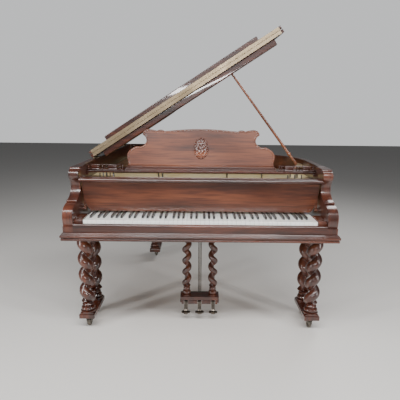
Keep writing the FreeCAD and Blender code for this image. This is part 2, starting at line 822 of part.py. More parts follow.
def column(x, y, z0, z1, radius, strand, pitch, hand, foot):
    """Twist column on a foot with two turned rings, with a neck at its head."""
    shape = [(0.94, 0.0), (0.94, 0.12), (0.66, 0.18), (0.84, 0.28), (0.86, 0.38), (0.8, 0.48), (0.56, 0.58),
             (0.68, 0.66), (0.72, 0.74), (0.66, 0.82), (0.6, 0.86), (0.72, 1.0)]
    base = turned([(radius * r, z0 + foot * h) for r, h in shape], x, y)
    neck = foot * 0.4
    shape = [(0.74, 0.0), (0.9, 0.4), (0.7, 0.65), (0.93, 0.8), (0.93, 1.0)]
    head = turned([(radius * r, z1 - neck + neck * h) for r, h in shape], x, y)
    return [base, twist(x, y, z0 + foot, z1 - neck, radius, strand, pitch, hand), head]


def caster_socket(x, y):
    return rod(V(x, y, caster_height - 1), V(x, y, plinth_top - 6), stem_radius + running_gap)


def leg(places, hands, name, stems=None):
    """Twist columns on one moulded plinth, drilled for the caster stems."""
    xs = [p[0] for p in places]
    ys = [p[1] for p in places]
    m = plinth_margin - 3
    low = box(min(xs) - m, max(xs) + m, min(ys) - m, max(ys) + m, caster_height, plinth_top - 9)
    high = box(min(xs) - m + 5, max(xs) + m - 5, min(ys) - m + 5, max(ys) + m - 5, plinth_top - 9, plinth_top)
    plinth = fuse([low, high])
    for x, y in stems or places:
        plinth = plinth.cut(caster_socket(x, y))
    parts = [plinth]
    for (x, y), hand in zip(places, hands):
        parts += column(x, y, plinth_top, bed_underside, leg_radius, strand_radius, twist_pitch, hand,
                        turned_foot)
    group(parts, name)


def caster_fork(x, y):
    """Swivel stem, crown and two cheeks holding the axle."""
    crown = rod(V(x, y, 2 * wheel_radius + 5), V(x, y, 2 * wheel_radius + 11), 20)
    stem = rod(V(x, y, 2 * wheel_radius + 11), V(x, y, plinth_top - 8), stem_radius)
    collar = rod(V(x, y, 2 * wheel_radius + 11), V(x, y, caster_height - 1.5), 11)
    parts = [crown, stem, collar]
    inner = wheel_width / 2 + 1.5
    for side in (-1, 1):
        x0, x1 = sorted((x + side * inner, x + side * (inner + 4)))
        cheek = [(y - 12, 2 * wheel_radius + 9), (y + 12, 2 * wheel_radius + 9),
                 (y + caster_trail + 9, wheel_radius - 8), (y + caster_trail - 9, wheel_radius - 8)]
        parts.append(side_prism(cheek, x0, x1))
    axle_y = y + caster_trail
    parts.append(rod(V(x - inner - 4, axle_y, wheel_radius), V(x + inner + 4, axle_y, wheel_radius),
                     wheel_bore - running_gap))
    return fuse(parts)


def caster_wheel(x, y):
    """Wheel with rounded edges, on the fork's axle."""
    half = wheel_width / 2
    r = wheel_radius
    profile = [(wheel_bore, -half - 1), (wheel_bore + 6, -half - 1), (wheel_bore + 8, -half), (r - 4, -half),
               (r, -half + 4), (r, half - 4), (r - 4, half), (wheel_bore + 8, half), (wheel_bore + 6, half + 1),
               (wheel_bore, half + 1)]
    points = [V(x + w, y + caster_trail, wheel_radius + rad) for rad, w in profile]
    face = Part.Face(Part.makePolygon(points + [points[0]]))
    return face.revolve(V(x, y + caster_trail, wheel_radius), V(1, 0, 0), 360)


def rod_places():
    return [-rod_spacing, 0.0, rod_spacing]


def rod_y():
    return lyre_y + 20


def pedal_pivot():
    """Height and depth of the pedals' common axis."""
    return lyre_y - 4, pedal_box_base + 15


def pedal_box():
    """Moulded box with a slot and pin for each pedal and holes for the rods."""
    y0 = lyre_y - pedal_box_depth / 2
    y1 = lyre_y + pedal_box_depth / 2
    z0 = pedal_box_base
    z1 = z0 + pedal_box_height
    half = pedal_box_half
    steps = [box(-half + 8, half - 8, y0 + 8, y1 - 8, z0, z0 + 14), box(-half, half, y0, y1, z0 + 14, z0 + 24),
             box(-half + 5, half - 5, y0 + 5, y1 - 5, z0 + 24, z1 - 8), box(-half, half, y0, y1, z1 - 8, z1)]
    body = fuse(steps)
    pivot_y, pivot_z = pedal_pivot()
    for i in (-1, 0, 1):
        x = i * pedal_spacing
        slot = pedal_slot / 2
        body = body.cut(box(x - slot, x + slot, y0 - 1, rod_y() + 9, z0 - 1, z0 + 28))
        body = body.cut(rod(V(i * rod_spacing, rod_y(), z0), V(i * rod_spacing, rod_y(), z1 + 1), rod_radius + 1))
    slot = pedal_slot / 2
    trap = pedal_spacing + slot
    body = body.cut(box(-trap, trap, rod_y() - 8, rod_y() + 9, z0 + 8, z0 + 34))
    pins = [rod(V(i * pedal_spacing - slot - 6, pivot_y, pivot_z), V(i * pedal_spacing + slot + 6, pivot_y,
                pivot_z), 3.0 - running_gap) for i in (-1, 0, 1)]
    return fuse([body] + pins)


def lyre():
    z0 = pedal_box_base + pedal_box_height
    parts = [pedal_box()]
    for side in (-1, 1):
        parts += column(side * lyre_column_x, lyre_y - 6, z0, bed_underside - 16, lyre_radius, lyre_strand,
                        lyre_pitch, -side, lyre_foot)
    board = box(-pedal_box_half, pedal_box_half, lyre_y - 40, lyre_y + 30, bed_underside - 16, bed_underside)
    for x in rod_places():
        board = board.cut(rod(V(x, rod_y(), bed_underside - 20), V(x, rod_y(), bed_underside + 1),
                              rod_radius + 1))
    parts.append(board)
    for side in (-1, 1):
        foot = V(side * 100, lyre_y + 38, pedal_box_base + 40)
        head = V(side * 60, 620, bed_underside - 4)
        parts.append(rod(foot, head, 6))
    block = box(-90, 90, 590, 640, bed_underside - 4, case_base)
    parts.append(block)
    return fuse(parts)


def pedal(i):
    """Cast pedal: broad toe, swan neck, boss on its pin, short tail under its rod."""
    x = i * pedal_spacing
    pivot_y, pivot_z = pedal_pivot()
    z = pedal_toe
    y0 = lyre_y - pedal_box_depth / 2
    tail = rod_y() + 7
    toe_y = y0 - pedal_reach
    shape = [(toe_y, z), (y0 - 4, z + 3), (y0 + 6, z + 18), (y0 + 12, pivot_z - 8), (tail, pivot_z - 8),
             (tail, pivot_z + 3), (y0 + 6, pivot_z + 3), (y0 - 3, z + 22), (y0 - 9, z + 11), (toe_y, z + 9)]
    half = pedal_width / 2
    plate = side_prism(shape, x - half, x + half)
    toes = [rod(V(x + dx, toe_y + dy, z), V(x + dx, toe_y + dy, z + 9), r)
            for dx, dy, r in ((0, 0, 16), (-17, 7, 10), (17, 7, 10))]
    boss = rod(V(x - half, pivot_y, pivot_z), V(x + half, pivot_y, pivot_z), 8)
    parts = [plate, boss] + toes
    if i:
        x0, x1 = sorted((i * (rod_spacing - rod_radius), x))
        parts.append(box(x0, x1, rod_y() - 5, rod_y() + 5, pivot_z - 2, pivot_z + 3))
    bore = rod(V(x - half - 1, pivot_y, pivot_z), V(x + half + 1, pivot_y, pivot_z), 3.0)
    whole = fuse(parts).cut(bore)
    if i == 0:
        reach = rod_spacing - rod_radius - 1.2
        for x0, x1 in ((-half - 1, -reach), (reach, half + 1)):
            whole = whole.cut(box(x0, x1, pivot_y + 9, tail + 1, 0, pivot_z + 20))
    return whole


def pedal_rod(i):
    pivot_y, pivot_z = pedal_pivot()
    x = i * rod_spacing
    return rod(V(x, rod_y(), pivot_z + 3.3), V(x, rod_y(), case_base + 14), rod_radius)


# ---- Write every node -------------------------------------------------------------------------------------
rim = hollow_slab(0, -rim_thickness, arm_depth, case_base, case_top)
inner_rim = hollow_slab(-rim_thickness, -rim_thickness - inner_rim_thickness, arm_depth, case_base,
                        board_top - board_thickness)
inner_rim = inner_rim.common(box(-half_width, half_width, belly_y + 4, tail_y, 0, case_top))
save(rim, "outer_rim")
save(inner_rim, "inner_rim")
save(arm(-1), "arm_left")
save(arm(1), "arm_right")
save(base_moulding(), "base_moulding")
save(keybed(), "keybed")
save(key_slip(), "key_slip")
group(key_blocks(), "key_blocks")
save(stretcher(), "stretcher")
save(case_braces(), "case_braces")
save(soundboard(), "soundboard")
group(soundboard_ribs(), "soundboard_ribs")
group(bridges(), "bridges")
save(iron_plate(), "iron_plate")
save(pin_block(), "pin_block")
group(steel_strings(), "steel_strings")
group(copper_strings(), "copper_strings")
group(tuning_pins(), "tuning_pins")
group(dampers(), "dampers")
group(action(), "action")
build_keys()
save(fallboard(), "fallboard")
group([desk_shelf()] + desk_supports(), "desk_shelf")
group([side_gallery(-1), side_gallery(1)], "side_galleries")
save(desk_panel(), "desk_panel")
save(desk_rosette(), "desk_rosette")
save(lid_main(), "lid_main")
save(lid_batten(), "lid_batten")
save(lid_flap(), "lid_flap")
save(flap_leaf(True), "flap_hinge_leaf")
group([flap_leaf(False)] + [lid_hinge(y) for y in hinge_places()], "lid_hinge_leaves")
group([case_hinge(y) for y in hinge_places()], "case_hinge_leaves")
save(prop_long(), "prop_long")
save(prop_short(), "prop_short")
save(prop_bracket(rim), "prop_bracket")
save(prop_cup(), "prop_cup")
front_places = {side: [(side * leg_x, leg_front_y), (side * leg_x, leg_rear_y)] for side in (-1, 1)}
leg(front_places[-1], (-1, 1), "leg_front_left")
leg(front_places[1], (1, -1), "leg_front_right")
tail_places = [(tail_leg_x, tail_leg_y + side * tail_column_spread) for side in (-1, 1)]
leg(tail_places, (-1, 1), "leg_tail", [(tail_leg_x, tail_leg_y)])
casters = {"left_front": front_places[-1][0], "left_rear": front_places[-1][1],
           "right_front": front_places[1][0], "right_rear": front_places[1][1],
           "tail": (tail_leg_x, tail_leg_y)}
for place, (x, y) in casters.items():
    save(caster_fork(x, y), "caster_fork_" + place)
    save(caster_wheel(x, y), "caster_wheel_" + place)
save(lyre(), "lyre")
for i, hand in ((-1, "left"), (0, "middle"), (1, "right")):
    save(pedal(i), "pedal_" + hand)
    save(pedal_rod(i), "pedal_rod_" + hand)
lid_cup_x = prop_geometry()[2]
print("prop length", round(prop_geometry()[0], 1), "cup at", round(lid_cup_x, 1), "middle_y", middle_y)
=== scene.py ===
"""The looks of an art-case grand piano on barley-twist legs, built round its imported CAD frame. Metres."""
import math
import bmesh
import bpy
from mathutils import Matrix, Vector


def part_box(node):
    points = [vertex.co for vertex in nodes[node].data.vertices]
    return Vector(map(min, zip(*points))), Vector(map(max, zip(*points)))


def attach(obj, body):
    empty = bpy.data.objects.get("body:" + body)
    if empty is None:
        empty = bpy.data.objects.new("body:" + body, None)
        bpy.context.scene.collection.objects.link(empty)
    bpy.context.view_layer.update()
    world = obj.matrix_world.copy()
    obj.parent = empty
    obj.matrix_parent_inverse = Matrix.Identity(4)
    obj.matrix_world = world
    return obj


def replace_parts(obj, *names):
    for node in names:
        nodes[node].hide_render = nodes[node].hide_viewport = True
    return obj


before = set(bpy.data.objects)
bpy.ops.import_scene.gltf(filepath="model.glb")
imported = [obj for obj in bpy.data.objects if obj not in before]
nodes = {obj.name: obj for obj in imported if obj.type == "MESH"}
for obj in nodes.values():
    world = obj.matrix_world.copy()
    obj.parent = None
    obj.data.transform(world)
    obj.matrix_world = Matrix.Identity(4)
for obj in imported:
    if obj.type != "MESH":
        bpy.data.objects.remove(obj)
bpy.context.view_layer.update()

# ---- Camera, floor and lights ----------------------------------------------------------------
# A seated viewer's height, two metres in front of the keys, on the middle of the case.
# The lights are two wide strips ahead of the keyboard, a tall strip each side, a box beside the lid
# and a box over the tail.
key_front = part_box("white_keys")[0].y
camera_data = bpy.data.cameras.new("viewpoint")
camera_data.lens = 36.0
camera_data.sensor_width = 36.0
camera = bpy.data.objects.new("viewpoint", camera_data)
bpy.context.scene.collection.objects.link(camera)
camera_aside = -0.003
camera_height = 1.29
camera_back = 2.01
look_down = 12.3
lean = 0.55
camera.location = (camera_aside, key_front - camera_back, camera_height)
camera.rotation_euler = (Matrix.Rotation(math.radians(90 - look_down), 3, "X")
                         @ Matrix.Rotation(math.radians(lean), 3, "Z")).to_euler()
bpy.context.scene.camera = camera


def soft_box(name, place, aim, width, depth, power):
    """A rectangular studio lamp at place, pointed at aim."""
    lamp = bpy.data.lights.new(name, "AREA")
    lamp.shape = "RECTANGLE"
    lamp.size = width
    lamp.size_y = depth
    lamp.energy = power
    piece = bpy.data.objects.new(name, lamp)
    piece.location = place
    piece.rotation_euler = (Vector(aim) - Vector(place)).to_track_quat("-Z", "Y").to_euler()
    bpy.context.scene.collection.objects.link(piece)


soft_box("over_keyboard", (0.0, -2.5, 2.9), (0, -0.8, 0.8), 3.0, 0.45, 100)
soft_box("at_the_front", (0.0, -4.2, 1.75), (0, -0.6, 0.9), 2.2, 0.12, 46)
soft_box("left_tall", (-2.7, -2.3, 1.5), (-0.2, -0.6, 0.7), 0.22, 2.4, 48)
soft_box("right_tall", (2.7, -2.3, 1.5), (0.2, -0.6, 0.7), 0.22, 2.4, 42)
soft_box("beside_lid", (-1.6, -1.9, 3.0), (0.1, 0.0, 1.2), 1.2, 0.3, 22)
soft_box("over_tail", (1.6, 1.6, 3.0), (0, 0.3, 0.9), 1.4, 1.4, 40)

world = bpy.data.worlds.new("studio")
world.use_nodes = True
sky = world.node_tree
dim = sky.nodes["Background"]
dim.inputs["Color"].default_value = (0.86, 0.87, 0.89, 1)
dim.inputs["Strength"].default_value = 0.12
seen = sky.nodes.new("ShaderNodeBackground")
seen.inputs["Color"].default_value = (0.84, 0.85, 0.86, 1)
seen.inputs["Strength"].default_value = 0.85
by_eye = sky.nodes.new("ShaderNodeLightPath")
either = sky.nodes.new("ShaderNodeMixShader")
sky.links.new(by_eye.outputs["Is Camera Ray"], either.inputs["Fac"])
sky.links.new(dim.outputs["Background"], either.inputs[1])
sky.links.new(seen.outputs["Background"], either.inputs[2])
sky.links.new(either.outputs["Shader"], sky.nodes["World Output"].inputs["Surface"])
bpy.context.scene.world = world

floor_mesh = bpy.data.meshes.new("studio_floor")
reach = 14.0
floor_mesh.from_pydata([(-reach, -reach, 0), (reach, -reach, 0), (reach, reach, 0), (-reach, reach, 0)], [],
                       [(0, 1, 2, 3)])
floor = bpy.data.objects.new("studio_floor", floor_mesh)
bpy.context.scene.collection.objects.link(floor)
floor_paint = bpy.data.materials.new("studio_floor")
floor_paint.use_nodes = True
floor_shader = floor_paint.node_tree.nodes["Principled BSDF"]
floor_shader.inputs["Base Color"].default_value = (0.74, 0.72, 0.69, 1)
floor_shader.inputs["Roughness"].default_value = 0.7
floor_mesh.materials.append(floor_paint)

# ---- Case: sides, arms, moulding and front rails ---------------------------------------------
# Laminated maple faced with mahogany veneer, French polished to a mirror. The scrolled arms are sawn
# from thick stock and glued to the case; the moulding is planed in lengths and runs right round.
AXES = {"X": 0, "Y": 1, "Z": 2}


def new_material(name):
    """A material with its node tree and its shader."""
    material = bpy.data.materials.new(name)
    material.use_nodes = True
    tree = material.node_tree
    return material, tree, tree.nodes["Principled BSDF"]


def place_noise(tree, scale, detail, rough, distort=0.0):
    """A noise read in the piece's own metres, stretched by scale."""
    coords = tree.nodes.new("ShaderNodeTexCoord")
    mapping = tree.nodes.new("ShaderNodeMapping")
    mapping.inputs["Scale"].default_value = scale
    noise = tree.nodes.new("ShaderNodeTexNoise")
    noise.inputs["Scale"].default_value = 1.0
    noise.inputs["Detail"].default_value = detail
    noise.inputs["Roughness"].default_value = rough
    noise.inputs["Distortion"].default_value = distort
    tree.links.new(coords.outputs["Object"], mapping.inputs["Vector"])
    tree.links.new(mapping.outputs["Vector"], noise.inputs["Vector"])
    return noise


def ramp(tree, source, stops):
    """Colours at places along a source that runs from 0 to 1."""
    node = tree.nodes.new("ShaderNodeValToRGB")
    while len(node.color_ramp.elements) < len(stops):
        node.color_ramp.elements.new(0.5)
    for element, (place, colour) in zip(node.color_ramp.elements, stops):
        element.position = place
        element.color = (*colour, 1)
    tree.links.new(source, node.inputs["Fac"])
    return node


def darken(tree, factor, first, second):
    """First colour multiplied by the second, as far as factor says."""
    mix = tree.nodes.new("ShaderNodeMix")
    mix.data_type = "RGBA"
    mix.blend_type = "MULTIPLY"
    mix.inputs["Factor"].default_value = factor
    tree.links.new(first, mix.inputs["A"])
    tree.links.new(second, mix.inputs["B"])
    return mix.outputs["Result"]


def bump(tree, shader, source, depth, strength):
    """Relief of a given depth in metres."""
    node = tree.nodes.new("ShaderNodeBump")
    node.inputs["Distance"].default_value = depth
    node.inputs["Strength"].default_value = strength
    tree.links.new(source, node.inputs["Height"])
    tree.links.new(node.outputs["Normal"], shader.inputs["Normal"])


def with_grain(along, across, lengthwise):
    """Noise scale that is fine across the grain and drawn out along it."""
    scale = [across] * 3
    scale[AXES[along]] = lengthwise
    return scale


def mahogany(name, along, dark, middle, light):
    """Polished mahogany: broad figure, fine pore lines along the grain, clear coat."""
    material, tree, shader = new_material(name)
    figure = place_noise(tree, with_grain(along, 16.0, 1.6), 5.0, 0.6, 0.35)
    colour = ramp(tree, figure.outputs["Fac"], [(0.28, dark), (0.5, middle), (0.74, light)])
    pores = place_noise(tree, with_grain(along, 160.0, 7.0), 2.0, 0.5)
    lines = ramp(tree, pores.outputs["Fac"], [(0.36, (0.45, 0.38, 0.35)), (0.52, (1, 1, 1))])
    cloud = place_noise(tree, (2.2, 2.2, 2.2), 2.0, 0.5)
    shade = ramp(tree, cloud.outputs["Fac"], [(0.3, (0.72, 0.7, 0.68)), (0.7, (1, 1, 1))])
    mixed = darken(tree, 0.7, colour.outputs["Color"], lines.outputs["Color"])
    mixed = darken(tree, 0.8, mixed, shade.outputs["Color"])
    tree.links.new(mixed, shader.inputs["Base Color"])
    rough = ramp(tree, cloud.outputs["Fac"], [(0.3, (0.3, 0.3, 0.3)), (0.75, (0.42, 0.42, 0.42))])
    tree.links.new(rough.outputs["Color"], shader.inputs["Roughness"])
    shader.inputs["Coat Weight"].default_value = 0.85
    shader.inputs["Coat Roughness"].default_value = 0.05
    bump(tree, shader, pores.outputs["Fac"], 0.0001, 0.04)
    return material


case_tones = ((0.012, 0.0025, 0.0012), (0.06, 0.013, 0.0055), (0.15, 0.038, 0.015))
case_wood_x = mahogany("case_mahogany_across", "X", *case_tones)
case_wood_y = mahogany("case_mahogany_lengthwise", "Y", *case_tones)
case_wood_z = mahogany("case_mahogany_upright", "Z", *case_tones)


def dress(name, material, edge=0.0, segments=3):
    """Give a CAD piece its finish, weld it, ease its sharp edges and keep flat faces flat."""
    sharp_degrees = 32
    piece = nodes[name]
    piece.data.materials.clear()
    piece.data.materials.append(material)
    for face in piece.data.polygons:
        face.material_index = 0
        face.use_smooth = True
    weld = piece.modifiers.new("weld", "WELD")
    weld.merge_threshold = 0.00001
    if edge:
        ease = piece.modifiers.new("eased_edges", "BEVEL")
        ease.width = edge
        ease.segments = segments
        ease.limit_method = "ANGLE"
        ease.angle_limit = math.radians(sharp_degrees)
    normals = piece.modifiers.new("face_normals", "WEIGHTED_NORMAL")
    normals.keep_sharp = True


dress("outer_rim", case_wood_y, 0.003)
dress("arm_left", case_wood_z, 0.003)
dress("arm_right", case_wood_z, 0.003)
dress("base_moulding", case_wood_x, 0.0035)
dress("key_slip", case_wood_x, 0.0015)
dress("stretcher", case_wood_x, 0.001)
dress("key_blocks", case_wood_y, 0.002)

# ---- Inside and under the case: keybed, braces, inner rim, pin block and action --------------
# Plain maple, planed and lightly oiled, glued and screwed inside the case and under it.
# The case and the keys hide nearly all of it.


def plain_wood(name, along, dark, light, rough=0.5, coat=0.15):
    """Oiled or varnished plain timber with a straight grain."""
    material, tree, shader = new_material(name)
    grain = place_noise(tree, with_grain(along, 70.0, 3.0), 4.0, 0.6, 0.4)
    colour = ramp(tree, grain.outputs["Fac"], [(0.3, dark), (0.7, light)])
    tree.links.new(colour.outputs["Color"], shader.inputs["Base Color"])
    shader.inputs["Roughness"].default_value = rough
    shader.inputs["Coat Weight"].default_value = coat
    bump(tree, shader, grain.outputs["Fac"], 0.0003, 0.25)
    return material


maple_tones = ((0.24, 0.13, 0.06), (0.42, 0.26, 0.13))
maple_x = plain_wood("plain_maple_across", "X", *maple_tones)
maple_y = plain_wood("plain_maple_lengthwise", "Y", *maple_tones)
for name, material in (("keybed", maple_x), ("case_braces", maple_y), ("inner_rim", maple_y),
                       ("pin_block", maple_x), ("action", maple_y)):
    dress(name, material, 0.001, segments=1)

# ---- Soundboard, ribs and bridges ------------------------------------------------------------
# Quarter-sawn spruce under amber varnish, planed thin and glued into the case all round.
# Spruce ribs are glued across its underside, and the maple bridges on top.
spruce = plain_wood("varnished_spruce", "Y", (0.46, 0.24, 0.08), (0.66, 0.4, 0.17), 0.35, 0.6)
dress("soundboard", spruce)
dress("soundboard_ribs", plain_wood("rib_spruce", "X", (0.46, 0.26, 0.1), (0.64, 0.42, 0.2)))
dress("bridges", maple_y, 0.001)

# ---- Iron plate ------------------------------------------------------------------------------
# One iron casting with a raised front lip and long struts, bolted down over the pin block.
# It is rubbed down, sprayed with gold bronze and lacquered.


def gold_bronze():
    """Sprayed bronze paint: faint mottle, fine sandy skin, lacquer."""
    material, tree, shader = new_material("gold_bronze_plate")
    mottle = place_noise(tree, (9, 9, 9), 3.0, 0.6)
    gold = ramp(tree, mottle.outputs["Fac"], [(0.3, (0.88, 0.68, 0.32)), (0.7, (1.0, 0.86, 0.52))])
    tree.links.new(gold.outputs["Color"], shader.inputs["Base Color"])
    shader.inputs["Metallic"].default_value = 0.2
    shader.inputs["Roughness"].default_value = 0.4
    shader.inputs["Coat Weight"].default_value = 0.4
    sand = place_noise(tree, (600, 600, 600), 2.0, 0.5)
    bump(tree, shader, sand.outputs["Fac"], 0.0003, 0.25)
    return material


dress("iron_plate", gold_bronze(), 0.0025)

# ---- Strings, pins and dampers ---------------------------------------------------------------
# Drawn steel wire and copper-wound bass strings, stretched from blued steel pins over the bridges.
# The damper heads lie on them, lacquered black.


def drawn_metal(name, dark, light, rough, scale=(8, 300, 8), metallic=1.0):
    """Metal with fine drawing or wear marks."""
    material, tree, shader = new_material(name)
    marks = place_noise(tree, scale, 3.0, 0.6)
    colour = ramp(tree, marks.outputs["Fac"], [(0.3, dark), (0.7, light)])
    tree.links.new(colour.outputs["Color"], shader.inputs["Base Color"])
    shine = ramp(tree, marks.outputs["Fac"], [(0.2, (rough * 1.4,) * 3), (0.8, (rough * 0.7,) * 3)])
    tree.links.new(shine.outputs["Color"], shader.inputs["Roughness"])
    shader.inputs["Metallic"].default_value = metallic
    bump(tree, shader, marks.outputs["Fac"], 0.00005, 0.05)
    return material


steel = drawn_metal("string_steel", (0.5, 0.5, 0.5), (0.75, 0.74, 0.72), 0.25)
copper = drawn_metal("copper_winding", (0.42, 0.19, 0.1), (0.66, 0.33, 0.19), 0.3, (8, 900, 8))
blued_steel = drawn_metal("blued_pin_steel", (0.14, 0.15, 0.18), (0.34, 0.35, 0.38), 0.3, (60, 60, 400))
dress("steel_strings", steel)
dress("copper_strings", copper)
dress("tuning_pins", blued_steel)
damper_lacquer = plain_wood("damper_lacquer", "X", (0.012, 0.010, 0.009), (0.03, 0.026, 0.022), 0.35, 0.5)
dress("dampers", damper_lacquer, 0.0012)

# ---- Keys ------------------------------------------------------------------------------------
# Spruce sticks topped with polished ivory-coloured plates and ebony sharps, all edges eased by hand.
# Middle C, its sharp and D move on their own; the other keys are two joined sets.


def key_ivory():
    """Polished plate with a faint grain along the key."""
    material, tree, shader = new_material("key_ivory")
    tone = place_noise(tree, (40, 3, 40), 3.0, 0.6)
    cream = ramp(tree, tone.outputs["Fac"], [(0.3, (0.93, 0.91, 0.86)), (0.7, (0.98, 0.97, 0.94))])
    tree.links.new(cream.outputs["Color"], shader.inputs["Base Color"])
    shader.inputs["Roughness"].default_value = 0.22
    shader.inputs["Coat Weight"].default_value = 0.5
    shader.inputs["Coat Roughness"].default_value = 0.1
    shader.inputs["Subsurface Weight"].default_value = 0.05
    bump(tree, shader, tone.outputs["Fac"], 0.0002, 0.1)
    return material


ivory = key_ivory()
ebony = plain_wood("key_ebony", "Y", (0.004, 0.0035, 0.003), (0.012, 0.010, 0.009), 0.34, 0.35)
for name in ("white_keys", "key_c", "key_d"):
    dress(name, ivory, 0.0008, segments=2)
for name in ("black_keys", "key_c_sharp"):
    dress(name, ebony, 0.0009)

# ---- Fallboard -------------------------------------------------------------------------------
# Tall mahogany board with its lower corners cut in by a curve, its grain running across.
# It swings on an arm and a pin at each end.
fall_tones = ((0.035, 0.008, 0.003), (0.11, 0.029, 0.011), (0.20, 0.062, 0.025))
fall_wood = mahogany("fallboard_mahogany", "X", *fall_tones)
dress("fallboard", fall_wood, 0.001)

# ---- Music desk and its shelf ----------------------------------------------------------------
# Mahogany board sawn to a scrolled outline, with a half-round bead planted just inside its edge.
# It leans back on a ledge of two steps, fixed to the shelf that runs across the case.
desk_tones = ((0.05, 0.011, 0.004), (0.145, 0.037, 0.013), (0.25, 0.077, 0.029))
desk_wood = mahogany("desk_mahogany", "X", *desk_tones)
dress("desk_shelf", case_wood_x, 0.0015)
dress("desk_panel", desk_wood, 0.003)

desk_lean = math.radians(15)
upward = Vector((0, math.sin(desk_lean), math.cos(desk_lean)))
outward = Vector((0, -math.cos(desk_lean), math.sin(desk_lean)))


def new_piece(name, verts, faces, material, body):
    """A mesh piece with its finish, riding on a CAD body."""
    mesh = bpy.data.meshes.new(name)
    mesh.from_pydata(verts, [], faces)
    mesh.materials.append(material)
    for face in mesh.polygons:
        face.use_smooth = True
    piece = bpy.data.objects.new(name, mesh)
    bpy.context.scene.collection.objects.link(piece)
    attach(piece, body)
    return piece


def desk_edge_loop():
    """The outline of the desk's front face, in order, read from its CAD node."""
    mesh = bmesh.new()
    mesh.from_mesh(nodes["desk_panel"].data)
    bmesh.ops.remove_doubles(mesh, verts=mesh.verts, dist=0.00002)
    front = {face for face in mesh.faces if face.normal.dot(outward) > 0.98}
    ends = {}
    for edge in mesh.edges:
        if sum(face in front for face in edge.link_faces) == 1:
            a, b = edge.verts
            ends.setdefault(a, []).append(b)
            ends.setdefault(b, []).append(a)
    start = here = next(iter(ends))
    loop, before = [], None
    while True:
        loop.append(here.co.copy())
        after = ends[here][0] if ends[here][0] is not before else ends[here][1]
        before, here = here, after
        if here is start:
            break
    mesh.free()
    return loop


def edge_bead():
    """Half-round bead planted a little inside the desk's outline."""
    inset, half_width, rise = 0.0075, 0.0028, 0.00224
    spacing, sides = 0.004, 10
    loop = desk_edge_loop()
    kept = [loop[0]]
    for point in loop[1:]:
        if (point - kept[-1]).length > spacing:
            kept.append(point)
    count = len(kept)
    area = sum((kept[i] - kept[0]).cross(kept[(i + 1) % count] - kept[0]).dot(outward) for i in range(count))
    hand = 1 if area > 0 else -1
    verts, faces = [], []
    for i in range(count):
        along = (kept[(i + 1) % count] - kept[i - 1]).normalized()
        inward = outward.cross(along) * hand
        centre = kept[i] + inward * inset
        for side in range(sides):
            turn = 2 * math.pi * side / sides
            verts.append(centre + inward * (half_width * math.cos(turn)) + outward * (rise * math.sin(turn)))
    for i in range(count):
        near, far = i * sides, (i + 1) % count * sides
        for side in range(sides):
            after = (side + 1) % sides
            faces.append((near + side, far + side, far + after, near + after))
    new_piece("desk_edge_bead", verts, faces, desk_wood, "desk")


edge_bead()

# ---- Rosette ---------------------------------------------------------------------------------
# An oval of mahogany carved in relief: a flower of five petals round a button, with a leaf between
# each two, inside a bead and a scalloped frame. It is glued to the face of the desk.
rosette_tones = ((0.03, 0.007, 0.004), (0.14, 0.036, 0.016), (0.34, 0.11, 0.05))
rosette_wood = mahogany("rosette_mahogany", "X", *rosette_tones)


def carving(r, turn):
    """Height in metres of the carved oval at share r of its radius."""
    ground, highest = 0.0035, 0.0135
    frame_middle, frame_half, bead_middle, bead_half = 0.9, 0.1, 0.74, 0.05
    petal_root, leaf_root, leaf_tip, button = 0.12, 0.3, 0.7, 0.17
    height = ground
    frame_line = 1 - abs(r - frame_middle) / frame_half
    if frame_line > 0:
        lobes = 0.55 + 0.45 * abs(math.cos(9 * turn))
        height += 0.0075 * math.sqrt(frame_line) * lobes
    inner_bead = 1 - abs(r - bead_middle) / bead_half
    if inner_bead > 0:
        height += 0.003 * math.sqrt(inner_bead)
    petal = abs(math.cos(2.5 * turn)) ** 0.7
    petal_tip = 0.2 + 0.44 * petal
    if petal_root < r < petal_tip:
        share = (r - petal_root) / (petal_tip - petal_root)
        height += 0.0065 * math.sin(math.pi * share) ** 0.7 * (0.35 + 0.65 * petal)
    if leaf_root < r < leaf_tip:
        leaf = abs(math.sin(2.5 * turn)) ** 3
        height += 0.004 * leaf * math.sin(math.pi * (r - leaf_root) / (leaf_tip - leaf_root))
    if r < button:
        height += 0.0075 * math.sqrt(max(0.0, 1 - (r / button) ** 2))
    return min(height, highest)


def carved_rosette():
    """The carving laid over the oval boss, as rings of points from the middle out."""
    low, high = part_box("desk_rosette")
    centre = (low + high) / 2
    across = Vector((1, 0, 0))
    thick = 0.014
    rings, steps = 46, 216
    half_wide, half_tall = 0.0442, 0.0636
    verts = [centre + outward * (carving(0, 0) - thick / 2)]
    for ring in range(1, rings + 1):
        r = ring / rings
        for step in range(steps):
            turn = 2 * math.pi * step / steps
            scallop = 1 - 0.07 * r ** 4 * (1 - abs(math.cos(9 * turn)))
            place = across * (half_wide * r * scallop * math.sin(turn))
            place += upward * (half_tall * r * scallop * math.cos(turn))
            height = carving(r, turn) if ring < rings else 0.0
            verts.append(centre + place + outward * (height - thick / 2))
    faces = [(0, 1 + step, 1 + (step + 1) % steps) for step in range(steps)]
    for ring in range(rings - 1):
        for step in range(steps):
            near = 1 + ring * steps
            far = near + steps
            after = (step + 1) % steps
            faces.append((near + step, far + step, far + after, near + after))
    return new_piece("carved_rosette", verts, faces, rosette_wood, "desk")


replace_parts(carved_rosette(), "desk_rosette")


# ---- Galleries -------------------------------------------------------------------------------
# A little mahogany fence each side of the desk, standing on the shelf. Posts and shaped blocks, each
# with a foot, a belly and a cap, are glued between two rounded rails.
post_profile = [(0.0, 0.98), (0.14, 0.98), (0.2, 0.72), (0.34, 0.66), (0.5, 0.86), (0.62, 0.92), (0.74, 0.84),
                (0.82, 0.66), (0.88, 0.98), (1.0, 0.98)]


